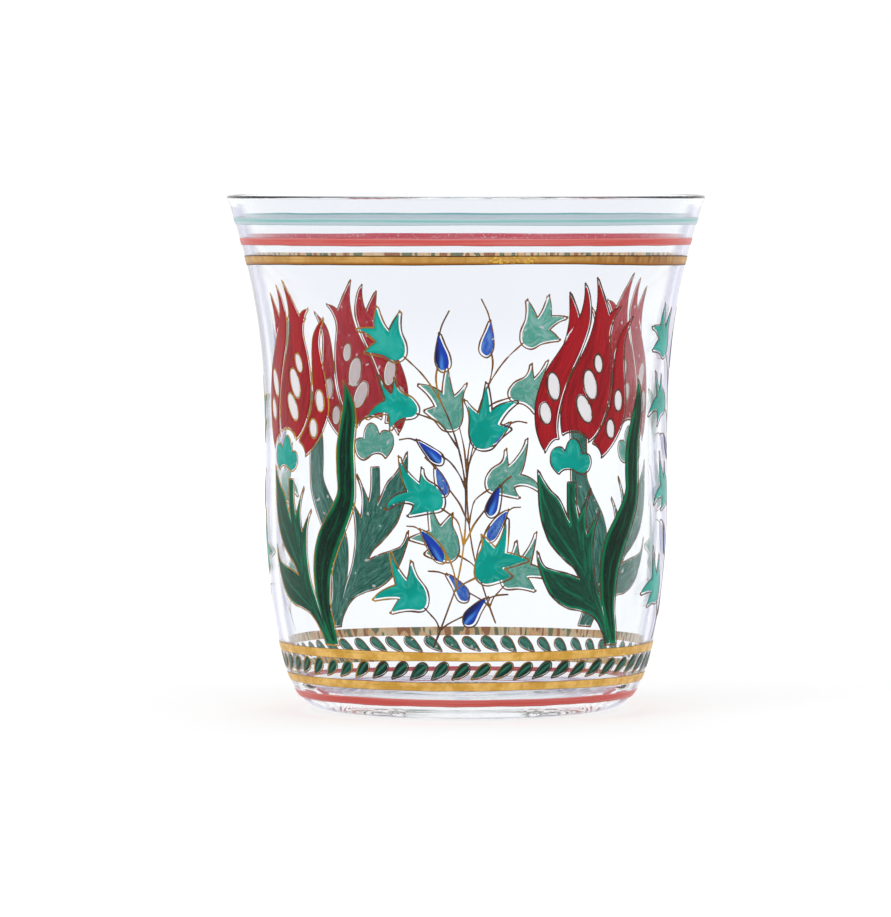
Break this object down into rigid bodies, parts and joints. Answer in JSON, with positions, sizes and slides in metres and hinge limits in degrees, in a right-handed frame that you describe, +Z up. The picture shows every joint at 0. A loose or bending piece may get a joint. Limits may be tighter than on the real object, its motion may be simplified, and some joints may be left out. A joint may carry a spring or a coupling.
{
  "type": "tea glass",
  "caption": "Clear blown tea glass with a flared rim and rounded foot, hand-painted with enamel tulips, bellflower sprays and gold-edged bands.",
  "frame": {"origin": "centre of the standing plane, under the glass", "axes": "+Z up along the glass's axis of revolution; the front bellflower spray faces -Y; +X to the right as seen in the picture"},
  "size_m": [0.084, 0.084, 0.0902],
  "materials": {
    "clear_glass": "clear, polished",
    "turquoise_enamel": "fired enamel, glossy",
    "red_enamel": "fired enamel, glossy",
    "green_enamel": "fired enamel, glossy",
    "dark_green_enamel": "fired enamel, glossy",
    "blue_enamel": "fired enamel, glossy",
    "white_enamel": "fired enamel, glossy",
    "gold": "fired gold, satin"
  },
  "bodies": {
    "root": {"glass_body": "clear_glass", "turquoise_rim_band": "turquoise_enamel", "red_rim_band": "red_enamel", "gold_rim_band": "gold", "upper_gold_foot_band": "gold", "lower_gold_foot_band": "gold", "red_foot_band": "red_enamel", "leaf_chain": "green_enamel", "leaf_chain_outlines": "gold", "front_tulip_left_petal": "red_enamel", "front_tulip_middle_petal": "red_enamel", "front_tulip_right_petal": "red_enamel", "front_tulip_white_spots": "white_enamel", "front_tulip_calyx": "turquoise_enamel", "front_tulip_leaves": "green_enamel", "front_tulip_long_leaf": "dark_green_enamel", "front_tulip_gold_lines": "gold", "right_tulip_left_petal": "red_enamel", "right_tulip_middle_petal": "red_enamel", "right_tulip_right_petal": "red_enamel", "right_tulip_white_spots": "white_enamel", "right_tulip_calyx": "turquoise_enamel", "right_tulip_leaves": "green_enamel", "right_tulip_long_leaf": "dark_green_enamel", "right_tulip_gold_lines": "gold", "back_tulip_left_petal": "red_enamel", "back_tulip_middle_petal": "red_enamel", "back_tulip_right_petal": "red_enamel", "back_tulip_white_spots": "white_enamel", "back_tulip_calyx": "turquoise_enamel", "back_tulip_leaves": "green_enamel", "back_tulip_long_leaf": "dark_green_enamel", "back_tulip_gold_lines": "gold", "left_tulip_left_petal": "red_enamel", "left_tulip_middle_petal": "red_enamel", "left_tulip_right_petal": "red_enamel", "left_tulip_white_spots": "white_enamel", "left_tulip_calyx": "turquoise_enamel", "left_tulip_leaves": "green_enamel", "left_tulip_long_leaf": "dark_green_enamel", "left_tulip_gold_lines": "gold", "front_spray_bells": "turquoise_enamel", "front_spray_buds": "blue_enamel", "front_spray_gold_stems": "gold", "right_spray_bells": "turquoise_enamel", "right_spray_buds": "blue_enamel", "right_spray_gold_stems": "gold", "back_spray_bells": "turquoise_enamel", "back_spray_buds": "blue_enamel", "back_spray_gold_stems": "gold", "left_spray_bells": "turquoise_enamel", "left_spray_buds": "blue_enamel", "left_spray_gold_stems": "gold"}
  },
  "joints": []
}
